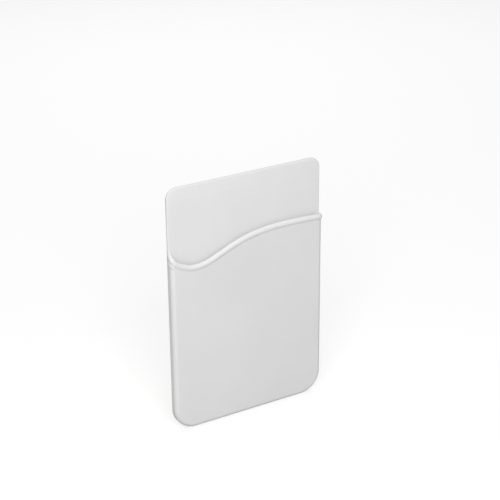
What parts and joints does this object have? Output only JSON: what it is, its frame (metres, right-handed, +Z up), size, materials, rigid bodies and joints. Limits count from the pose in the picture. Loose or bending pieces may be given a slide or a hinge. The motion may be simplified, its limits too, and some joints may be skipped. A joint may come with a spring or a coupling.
{
  "type": "stick on phone card holder",
  "caption": "Soft moulded sleeve with a shallow front pocket and a raised wavy rim, held to a phone's back by an adhesive sheet.",
  "frame": {"origin": "centre of the adhesive sheet's outer face, which presses on the phone's back", "axes": "+X to the right as seen from the pocket's side, +Z up towards the pocket's mouth, +Y out of the adhesive face into what it sticks to; the pocket faces -Y"},
  "size_m": [0.0582, 0.0037, 0.087],
  "materials": {
    "silicone": "matte, moulded white silicone",
    "adhesive": "satin, double-sided adhesive film"
  },
  "bodies": {
    "root": {"pocket_sleeve": "silicone", "adhesive_sheet": "adhesive"}
  },
  "joints": []
}
